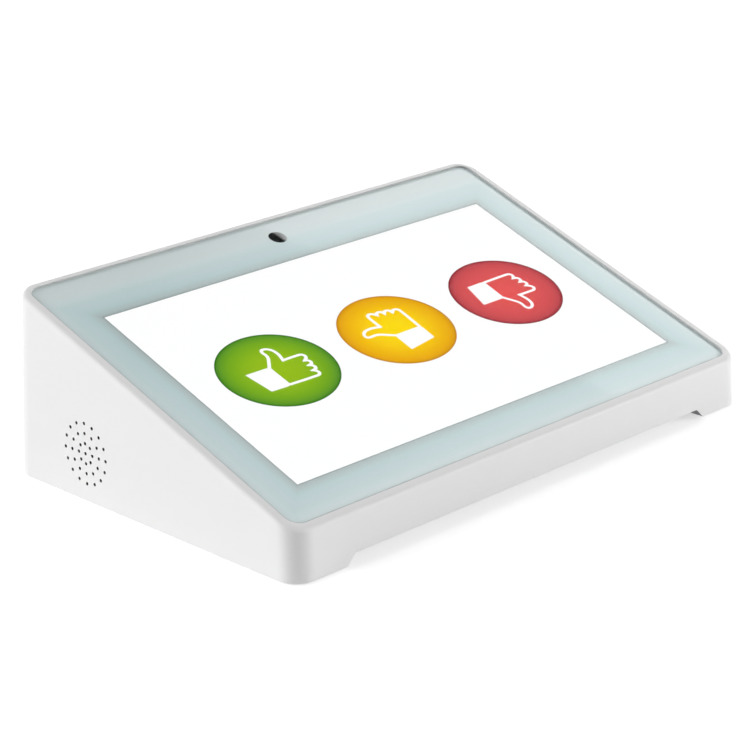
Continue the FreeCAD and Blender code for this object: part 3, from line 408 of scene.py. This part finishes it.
# ------------------------------------------------------------------------------------------------
# Power key and two volume keys with the plungers of their switches.
# Moulded ABS caps that slide in the port plate, each with a pad-printed mark: a broken ring with a
# bar for power, a plus and a minus for the volume.

wear(white_abs, "power_key", "volume_up_key", "volume_down_key")
wear(black_moulding, "power_plunger", "volume_up_plunger", "volume_down_plunger")
# Pad-print ink: thin mid-grey lines with a soft sheen
grey_ink = finish("grey_pad_print", "#6f7477", 0.5, ior=1.5, grain=0.2, depth=0.002, mottle=0.05)
rear_lean = math.atan(0.085)         # the rear wall leans forward by 8.5 mm in 100 mm of height
mark_line = 0.55 * mm
mark_height = 0.05 * mm
arm = 1.2 * mm                       # of the plus and the minus, from the middle


def key_frame(node):
    """Frame on the outer face of a key, with Z out of the key and Y up the rear wall."""
    low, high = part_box(node)
    middle = (low + high) / 2        # on the axis that cap, flange and stem share
    outwards = Vector((0, math.cos(rear_lean), math.sin(rear_lean)))
    up_wall = Vector((0, -math.sin(rear_lean), math.cos(rear_lean)))
    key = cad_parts[node]
    face = max((key.matrix_world @ v.co).dot(outwards) for v in key.data.vertices)
    middle += outwards * (face - middle.dot(outwards))
    across = up_wall.cross(outwards)
    return Matrix.Translation(middle) @ Matrix((across, up_wall, outwards)).transposed().to_4x4()


def arc(x, y, radius, start, end, steps):
    """Points (x, y) on an arc, between two angles in degrees."""
    turns = [math.radians(start + (end - start) * i / steps) for i in range(steps + 1)]
    return [(x + radius * math.cos(turn), y + radius * math.sin(turn)) for turn in turns]


def power_mark(form):
    """A ring that is open at the top, and a bar in the opening."""
    ring_radius = 1.7 * mm
    ring_start, ring_end = 130, 410
    bar_foot, bar_head = 0.4 * mm, 2.2 * mm
    stroke(form, arc(0, 0, ring_radius, ring_start, ring_end, 28), mark_line, 0, mark_height)
    stroke(form, [(0, bar_foot), (0, bar_head)], mark_line, 0, mark_height)


def minus_mark(form):
    """A bar across the key."""
    stroke(form, [(-arm, 0), (arm, 0)], mark_line, 0, mark_height)


def plus_mark(form):
    """The same bar, with an arm on either side of it."""
    minus_mark(form)
    for end in (-1, 1):
        stroke(form, [(0, end * mark_line / 2), (0, end * arm)], mark_line, 0, mark_height)


for key, mark in (("power", power_mark), ("volume_up", plus_mark), ("volume_down", minus_mark)):
    solid_piece(key + "_mark", mark, grey_ink, key + "_button",
                key_frame(key + "_key"))


# ------------------------------------------------------------------------------------------------
# Display stack: cell with its touch sensor, and the optical sheets and light guide in a steel tray.
# The cell and sensor are glass, the sheets PET film, the guide cast acrylic. The moulded frame and
# the tray hold them, and straps screw the tray to the shell.

# Glass with a black edge: dark and smooth, with a clear gloss
cell_edge = finish("black_matrix_glass", "#3d4647", 0.2, ior=1.52, grain=0.3, depth=0.001,
                   mottle=0.04)
# Frosted PET: milky white that scatters the light
frosted_sheet = finish("frosted_pet", "#ecedea", 0.6, ior=1.57, grain=0.2, depth=0.004, mottle=0.02)
# Cast acrylic: clear, half seen through, with a sharp gloss
acrylic_guide = finish("clear_acrylic", "#eef3f3", 0.12, ior=1.49, grain=0.5, depth=0.001,
                       mottle=0.02)
part_of(acrylic_guide, "BsdfPrincipled").inputs["Alpha"].default_value = 0.5
# Silvered film: a pale and slightly blurred mirror
silvered_film = finish("silvered_film", "#dfe0e0", 0.12, metallic=1.0, grain=0.4, depth=0.001,
                       mottle=0.02)
wear(cell_edge, "lcd_cell", "touch_sensor")
wear(frosted_sheet, "diffuser_sheet")
wear(acrylic_guide, "light_guide")
wear(silvered_film, "reflector_sheet")
wear(white_nylon, "led_strip")
wear(black_moulding, "display_frame")
wear(plated_sheet, "display_tray", "display_straps")


# ------------------------------------------------------------------------------------------------
# The picture that the cell shows: a white page with three round buttons, a thumb on each.
# It is light and not ink, so its colours are emitted and it has no gloss of its own. It lies just
# over the sensor, inside the window in the print.

tilt = math.radians(19.8)
sensor_low, sensor_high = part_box("touch_sensor")
sensor_middle = (sensor_low + sensor_high) / 2
sensor_half = 0.1 * mm
on_sensor = (Matrix.Translation(sensor_middle) @ Matrix.Rotation(tilt, 4, "X")
             @ Matrix.Translation((0, 0, sensor_half)))
picture_width = 222.7 * mm
picture_height = 125.3 * mm
dark_line = 0.1 * mm                 # black edge of the cell that shows round the picture
page_low = 0.01 * mm
page_high = 0.03 * mm
disc_high = 0.05 * mm
sign_high = 0.07 * mm


def set_stops(ramp, stops):
    """Gives a colour ramp its stops, each a position and a colour."""
    points = ramp.color_ramp.elements
    while len(points) < len(stops):
        points.new(0.5)
    for point, (position, code) in zip(points, stops):
        point.position = position
        point.color = linear(code)


def lit(name, stops, radius=None):
    """Glowing colour, even, or as a ramp from the piece's own middle out to a radius."""
    material = blank(bpy.data.materials.new(name))
    place = add(material, "TexCoord").outputs["Object"]
    if radius is None:
        cloud_size = 30 * mm
        level = add(material, "TexNoise", values={"Scale": 1 / cloud_size, "Detail": 2.0},
                    links={"Vector": place}).outputs["Fac"]
    else:
        flat = add(material, "VectorMath", {"operation": "MULTIPLY"}, values={1: (1, 1, 0)},
                   links={0: place})
        length = add(material, "VectorMath", {"operation": "LENGTH"},
                     links={0: flat.outputs["Vector"]})
        level = add(material, "MapRange", values={"From Max": radius},
                    links={"Value": length.outputs["Value"]}).outputs["Result"]
    ramp = add(material, "ValToRGB", links={"Fac": level})
    set_stops(ramp, stops)
    pixel_pitch = 0.174 * mm
    dots = add(material, "TexNoise", values={"Scale": 1 / pixel_pitch}, links={"Vector": place})
    bump = add(material, "Bump", values={"Strength": 0.2, "Distance": 0.001 * mm},
               links={"Height": dots.outputs["Fac"]})
    brightness = 1.035               # makes up for what the glass over it holds back
    shader = add(material, "BsdfPrincipled",
                 values={"Base Color": (0.0, 0.0, 0.0, 1.0), "Roughness": 0.9,
                         "Specular IOR Level": 0.0, "Emission Strength": brightness},
                 links={"Emission Color": ramp.outputs["Color"], "Normal": bump.outputs["Normal"]})
    add(material, "OutputMaterial", links={"Surface": shader.outputs["BSDF"]})
    return material


def prism(form, outline, low, high):
    """Straight prism over an outline of (x, y)."""
    skin(form, [[form.verts.new((x, y, z)) for x, y in outline] for z in (high, low)])


def page(form):
    """The page, a dark line's width smaller than the cell's picture all round."""
    x = picture_width / 2 - dark_line
    y = picture_height / 2 - dark_line
    prism(form, [(-x, -y), (x, -y), (x, y), (-x, y)], page_low, page_high)


# Lit white: even and bright, with hardly a shade in it
white_page = lit("lit_white", [(0.0, "#fdfefe"), (1.0, "#ffffff")])
solid_piece("picture_page", page, white_page, "casing", on_sensor)

disc_radius = 26.1 * mm
disc_pitch = 68.5 * mm
disc_shift = Vector((0.95 * mm, 0.4 * mm, 0))
drawn_out = Matrix.Diagonal((1.086, 0.943, 1.0, 1.0))    # a narrower page that fills a wide display
sign_line = 1.45 * mm


def disc(form):
    """A round button."""
    steps = 128
    prism(form, arc(0, 0, disc_radius, 0, 360, steps)[:-1], page_high, disc_high)


def rounded(points):
    """Smooth line through points."""
    steps = 4
    last = len(points) - 1
    line = []
    for i in range(last):
        a, b, c, d = (Vector(points[max(0, min(j, last))]) for j in (i - 1, i, i + 1, i + 2))
        for k in range(steps):
            t = k / steps
            line.append(0.5 * (2 * b + (c - a) * t + (2 * a - 5 * b + 4 * c - d) * t ** 2
                               + (3 * b - a - 3 * c + d) * t ** 3))
    return [tuple(p) for p in line] + [points[-1]]


def hand(form):
    """Outline of a closed hand with its thumb up: lower edge, four finger ends, top and thumb."""
    outline = [(-3.2, -10.6), (6.5, -10.9)]
    outline += arc(11.0, -9.1, 1.8, -90, 50, 6) + [(11.4, -7.0)]
    outline += arc(12.0, -5.2, 1.8, -50, 55, 5) + [(12.1, -3.2)]
    outline += arc(12.6, -1.4, 1.8, -50, 55, 5) + [(12.7, 0.4)]
    outline += arc(13.0, 3.0, 1.9, -50, 90, 6) + [(9.0, 5.0)]
    thumb = [(4.9, 4.9), (5.3, 6.6), (5.8, 9.2), (5.5, 12.2), (4.5, 14.1), (2.9, 15.2),
             (1.3, 15.1), (0.6, 13.6), (0.8, 11.0), (0.2, 8.8), (-1.6, 5.9), (-3.5, 3.0)]
    outline += rounded(thumb)
    stroke(form, [(x * mm, y * mm) for x, y in outline], sign_line, disc_high, sign_high)


def cuff(form):
    """A plain cuff behind the hand."""
    corners = [(-15.2, 3.6), (-12.6, -11.1), (-4.2, -11.4), (-2.7, -10.6), (-3.0, 2.8), (-4.6, 3.5)]
    prism(form, [(x * mm, y * mm) for x, y in corners], disc_high, sign_high)


def placed(sign, x, y, turn):
    """A sign turned, and moved by millimetres on its disc."""
    def make(form):
        sign(form)
        move = Matrix.Translation((x * mm, y * mm, 0))
        bmesh.ops.transform(form, matrix=move @ turn, verts=form.verts)
    return make


# Lit discs: full colour in the middle, deeper towards a thin dark rim
green = ((0.0, "#95be11"), (0.38, "#8fb915"), (0.6, "#82b216"), (0.8, "#6fa519"),
         (0.93, "#5a9624"), (0.965, "#4a8420"), (0.985, "#2e6e0b"))
yellow = ((0.0, "#fedb03"), (0.22, "#fcd903"), (0.5, "#f8cc09"), (0.75, "#f1b801"),
          (0.93, "#e7a505"), (0.965, "#d3960f"), (0.985, "#c4830e"))
red = ((0.0, "#e85757"), (0.38, "#de5553"), (0.6, "#d95255"), (0.8, "#cf4e51"),
       (0.93, "#be474e"), (0.965, "#a03a42"), (0.985, "#8a2c34"))
upright = Matrix.Identity(4)
quarter = Matrix.Rotation(math.radians(90), 4, "Z")
mirror = Matrix.Scale(-1, 4, (0, 1, 0))
# Name, column on the page, the sign's move in mm and its turn, and the disc's colours
buttons = (("thumb_up", -1, 1.0, -0.3, upright, green),
           ("thumb_side", 0, -0.4, -0.1, quarter, yellow),
           ("thumb_down", 1, -0.9, 0.0, mirror, red))
for name, column, x, y, turn, stops in buttons:
    shift = disc_shift + Vector((column * disc_pitch, 0, 0))
    centre = on_sensor @ Matrix.Translation(shift) @ drawn_out
    colour = lit("lit_" + name, stops, disc_radius)
    solid_piece(name + "_disc", disc, colour, "casing", centre)
    for sign_name, sign in (("_hand", hand), ("_cuff", cuff)):
        solid_piece(name + sign_name, placed(sign, x, y, turn), white_page, "casing",
                    centre)


# ------------------------------------------------------------------------------------------------
# Camera behind the rear border: a body on its small board, with a baffle round the lens.
# The body and the baffle are moulded plastic, the baffle matt and finely ribbed. The lens is ground
# glass with a dark coating. All sit just under the window in the print.

# Matt black plastic with fine ribs: it swallows nearly all light
baffle_black = finish("black_baffle", "#121314", 0.6, ior=1.54, grain=0.5, depth=0.05, mottle=0.05,
                      stretch=(0.05, 0.05, 1.0))
part_of(baffle_black, "BsdfPrincipled").inputs["Specular IOR Level"].default_value = 0.05
# Bloomed glass: smooth and nearly black, as it mirrors next to nothing
coated_lens = finish("coated_lens", "#0c0b11", 0.05, ior=1.6, grain=2.0, depth=0.0005, mottle=0.02)
part_of(coated_lens, "BsdfPrincipled").inputs["Specular IOR Level"].default_value = 0.02

# Painted sheen: the upper part of the baffle's right-hand and rear wall, which faces the light, is
# coloured pale grey as a sheen of light. It grows with the distance from a line beside the baffle's
# axis
across_face = Vector((0, -math.sin(tilt), math.cos(tilt)))
up_face = Vector((0, math.cos(tilt), math.sin(tilt)))
line_left, line_down = 2.4 * mm, 0.2 * mm
sheen_start, sheen_full = 5.0 * mm, 5.9 * mm
ring_low, ring_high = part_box("camera_ring")
sheen_line = (ring_low + ring_high) / 2 - Vector((line_left, 0, 0)) - up_face * line_down
off_line = add(baffle_black, "VectorMath", {"operation": "SUBTRACT"}, values={1: sheen_line},
               links={0: part_of(baffle_black, "TexCoord").outputs["Object"]})
square_to_line = add(baffle_black, "VectorMath", {"operation": "CROSS_PRODUCT"},
                     values={1: across_face}, links={0: off_line.outputs["Vector"]})
distance = add(baffle_black, "VectorMath", {"operation": "LENGTH"},
               links={0: square_to_line.outputs["Vector"]})
painted_sheen_mask = add(baffle_black, "MapRange", values={"From Min": sheen_start, "From Max": sheen_full},
                 links={"Value": distance.outputs["Value"]})
# painted sheen on the baffle's wall
paint_shade_or_sheen(baffle_black, painted_sheen_mask.outputs["Result"], "#cbcdce")
wear(black_moulding, "camera_body")
wear(baffle_black, "camera_ring")
wear(coated_lens, "camera_lens")


# ------------------------------------------------------------------------------------------------
# Cover glass, with the border printed on its back and the tape that holds it.
# Toughened soda-lime glass with polished faces and ground edges. It is screen-printed in several
# coats and taped flush into the casing.

# Screen ink under glass: pale blue-grey with a sharp gloss. Towards the window it is darker and
# greener, which is painted shade along the window's edge
border_ink = finish("border_screen_print", "#c6dce0", 0.4, ior=1.5, grain=0.3, depth=0.0,
                    mottle=0.01)
# How far a point lies outside the window, as a share of the border's width, from its place on the
# slanted face: x across it and y up it from the picture's middle
border_width = 20 * mm
window_half = (picture_width / 2, picture_height / 2, 0.0)
shifted = add(border_ink, "VectorMath", {"operation": "SUBTRACT"}, values={1: sensor_middle},
              links={0: part_of(border_ink, "TexCoord").outputs["Object"]})
on_face = add(border_ink, "VectorRotate", {"rotation_type": "X_AXIS"}, values={"Angle": -tilt},
              links={"Vector": shifted.outputs["Vector"]})
from_middle = add(border_ink, "VectorMath", {"operation": "ABSOLUTE"},
                  links={0: on_face.outputs["Vector"]})
outside = add(border_ink, "VectorMath", {"operation": "SUBTRACT"}, values={1: window_half},
              links={0: from_middle.outputs["Vector"]})
ways_out = add(border_ink, "SeparateXYZ", links={"Vector": outside.outputs["Vector"]})
farther = add(border_ink, "Math", {"operation": "MAXIMUM"},
              links={0: ways_out.outputs["X"], 1: ways_out.outputs["Y"]})
share = add(border_ink, "MapRange", values={"From Max": border_width},
            links={"Value": farther.outputs["Value"]})
# the ramp's darker stops next to the window are painted shade
ink_and_shade_ramp = add(border_ink, "ValToRGB", links={"Fac": share.outputs["Result"]})
set_stops(ink_and_shade_ramp, ((0.0, "#93a5a5"), (0.04, "#b6c8c9"), (0.1, "#c0d3d4"), (0.25, "#c9e3e4"),
                     (0.45, "#d1e7eb"), (0.65, "#d4eaeb"), (0.8, "#ddeef0"), (1.0, "#e0eded")))
ink_shader = part_of(border_ink, "BsdfPrincipled")
border_ink.node_tree.links.new(ink_and_shade_ramp.outputs["Color"], ink_shader.inputs["Base Color"])
# The glass over the ink is a coat on it, and the ink itself, behind the glass, mirrors nothing
for socket, value in (("Coat Weight", 1.0), ("Coat Roughness", 0.015), ("Coat IOR", 1.52),
                      ("Specular IOR Level", 0.0)):
    ink_shader.inputs[socket].default_value = value
wear(border_ink, "border_print")
# The print's face and the back of the glass are one plane, which a ray can't tell apart
print_drop = 0.02 * mm
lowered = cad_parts["border_print"].modifiers.new("under_glass", "DISPLACE")
lowered.direction = "Z"
lowered.mid_level = 0.0
lowered.strength = -print_drop

# Toughened glass: its polished faces are clear, and its ground edges hold back some of the light.
# An edge faces away from the slanted face's own direction.
glass = finish("toughened_glass", "#4f6660", 0.03, ior=1.52, grain=5.0, depth=0.0, mottle=0.01)
edge_facing, face_facing = 0.3, 0.8
edge_alpha, face_alpha = 0.22, 0.02
along_face = add(glass, "VectorMath", {"operation": "DOT_PRODUCT"}, values={1: across_face},
                 links={0: add(glass, "NewGeometry").outputs["True Normal"]})
facing = add(glass, "Math", {"operation": "ABSOLUTE"}, links={0: along_face.outputs["Value"]})
held_back = add(glass, "MapRange", values={"From Min": edge_facing, "From Max": face_facing,
                                           "To Min": edge_alpha, "To Max": face_alpha},
                links={"Value": facing.outputs["Value"]})
glass.node_tree.links.new(held_back.outputs["Result"],
                          part_of(glass, "BsdfPrincipled").inputs["Alpha"])
wear(glass, "cover_glass")

# Foam tape: a soft, dull black line round the display
foam_tape = finish("black_foam_tape", "#1b1b1b", 0.8, ior=1.47, grain=0.4, depth=0.02, mottle=0.06)
wear(foam_tape, "glass_tape")


# ------------------------------------------------------------------------------------------------
# Studio: a matt pale floor under an even white sky, two wide lights, a softbox and the camera.
# The glass mirrors the softbox and a small round lamp. Two small reflectors stand close by.

studio = bpy.context.scene
studio.view_settings.view_transform = "Standard"

floor_size = 6.0
floor_drop = 0.05 * mm               # just clear of the feet
floor_form = bmesh.new()
bmesh.ops.create_grid(floor_form, x_segments=8, y_segments=8, size=floor_size / 2)
bmesh.ops.translate(floor_form, verts=floor_form.verts, vec=(0, 0, -floor_drop))
floor_mesh = bpy.data.meshes.new("studio_floor")
floor_form.to_mesh(floor_mesh)
floor_form.free()
floor = set_up("studio_floor", floor_mesh, Matrix.Identity(4))


def seen_rays(held):
    """Light Path of a material or world, and 1 for camera rays and those of gloss and glass."""
    path = add(held, "LightPath")
    seen = path.outputs["Is Camera Ray"]
    for kind in ("Is Glossy Ray", "Is Transmission Ray"):
        seen = add(held, "Math", {"operation": "MAXIMUM"},
                   links={0: seen, 1: path.outputs[kind]}).outputs["Value"]
    return path, seen


# Matt paint: even white without gloss. Its own light is seen and lights nothing, and keeps the
# floor white and its shadow faint.
own_light = 0.61
floor_paint = blank(bpy.data.materials.new("matt_floor_paint"))
lift = add(floor_paint, "Math", {"operation": "MULTIPLY"}, values={1: own_light},
           links={0: seen_rays(floor_paint)[1]})
paint = add(floor_paint, "BsdfDiffuse", values={"Color": linear("#e7e7e7")})
fill = add(floor_paint, "Emission", links={"Strength": lift.outputs["Value"]})
lifted = add(floor_paint, "AddShader", links={0: paint.outputs["BSDF"],
                                              1: fill.outputs["Emission"]})
add(floor_paint, "OutputMaterial", links={"Surface": lifted.outputs["Shader"]})
floor_mesh.materials.append(floor_paint)

# The sky lights the object evenly, with a wide light left of the rear and one low on the right of
# the front: direction, strength and focus of each
sky_level = 0.14
wide_lights = (((-0.730, 0.522, 0.441), 7.44, 15.3), ((0.642, -0.734, 0.220), 11.09, 30.0))
sky = blank(bpy.data.worlds.new("studio_sky"))
studio.world = sky
direction = add(sky, "TexCoord").outputs["Generated"]
light = None
for place, strength, focus in wide_lights:
    towards = add(sky, "VectorMath", {"operation": "DOT_PRODUCT"},
                  values={1: Vector(place).normalized()}, links={0: direction})
    ahead = add(sky, "Math", {"operation": "MAXIMUM"}, values={1: 0.0},
                links={0: towards.outputs["Value"]})
    lobe = add(sky, "Math", {"operation": "POWER"}, values={1: focus},
               links={0: ahead.outputs["Value"]})
    lighter = add(sky, "Math", {"operation": "MULTIPLY_ADD"}, values={1: strength, 2: sky_level},
                  links={0: lobe.outputs["Value"]})
    if light is not None:
        sky.node_tree.links.new(light, lighter.inputs[2])
    light = lighter.outputs["Value"]

# What is seen is plain white, and in gloss also a small round lamp, brightest at its heart
lamp_place = (0.669, 0.280, 0.688)
lamp_strength = 1.5
lamp_rim, lamp_heart = (math.cos(math.radians(angle)) for angle in (8.6, 1.0))
towards = add(sky, "VectorMath", {"operation": "DOT_PRODUCT"}, values={1: lamp_place},
              links={0: direction})
lamp_glow = add(sky, "MapRange",
                values={"From Min": lamp_rim, "From Max": lamp_heart, "To Max": lamp_strength},
                links={"Value": towards.outputs["Value"]})
path, seen = seen_rays(sky)
white = add(sky, "Math", {"operation": "MULTIPLY_ADD"}, values={2: 1.0},
            links={0: lamp_glow.outputs["Result"], 1: path.outputs["Is Glossy Ray"]})
sky_tone = add(sky, "Mix", {"data_type": "FLOAT"},
               links={"Factor": seen, "A": light, "B": white.outputs["Value"]})
back = add(sky, "Background", values={"Strength": 1.0}, links={"Color": sky_tone.outputs["Result"]})
add(sky, "OutputWorld", links={"Surface": back.outputs["Background"]})

# Softbox, placed by the middle of the one edge that the glass mirrors
softbox_light = bpy.data.lights.new("softbox", "AREA")
softbox_light.shape = "RECTANGLE"
softbox_light.size = 0.8
softbox_light.size_y = 1.2
softbox_radiance = 0.65
softbox_light.energy = softbox_radiance * math.pi * softbox_light.size * softbox_light.size_y
softbox_edge = Vector((1.023, 0.452, 1.050))
softbox_back = Vector((0.652, 0.321, 0.687)).normalized()
softbox_side = Vector((-0.544, 0.829, 0.129)).cross(softbox_back).normalized()
softbox_up = softbox_back.cross(softbox_side)
softbox_turn = Matrix((softbox_side, softbox_up, softbox_back)).transposed().to_4x4()
softbox_middle = softbox_edge + softbox_side * softbox_light.size / 2
set_up("softbox", softbox_light, Matrix.Translation(softbox_middle) @ softbox_turn)

# Dull round reflectors that brighten the far ends of the left and front walls, and that the glass
# doesn't mirror
reflector_size = 0.16
for name, place, radiance in (("left_reflector", (-0.34, 0.25, 0.10), 0.79),
                              ("right_reflector", (0.30, -0.30, 0.08), 2.0)):
    board_light = bpy.data.lights.new(name, "AREA")
    board_light.shape = "DISK"
    board_light.size = reflector_size
    board_light.energy = radiance * math.pi * math.pi * (board_light.size / 2) ** 2
    turn = Vector(place).to_track_quat("Z", "Y").to_matrix().to_4x4()
    reflector = set_up(name, board_light, Matrix.Translation(place) @ turn)
    reflector.visible_glossy = False

camera_data = bpy.data.cameras.new("camera")
camera_data.lens = 116.0
camera_data.sensor_width = 36.0
camera_place = (-0.68076, -0.72289, 0.39047)
azimuth = math.radians(-43.008)
elevation = math.radians(20.009)
roll = math.radians(1.944)
aim = (Matrix.Rotation(azimuth, 4, "Z") @ Matrix.Rotation(math.pi / 2 - elevation, 4, "X")
       @ Matrix.Rotation(-roll, 4, "Z"))
studio.camera = set_up("camera", camera_data, Matrix.Translation(camera_place) @ aim)

bpy.context.view_layer.update()
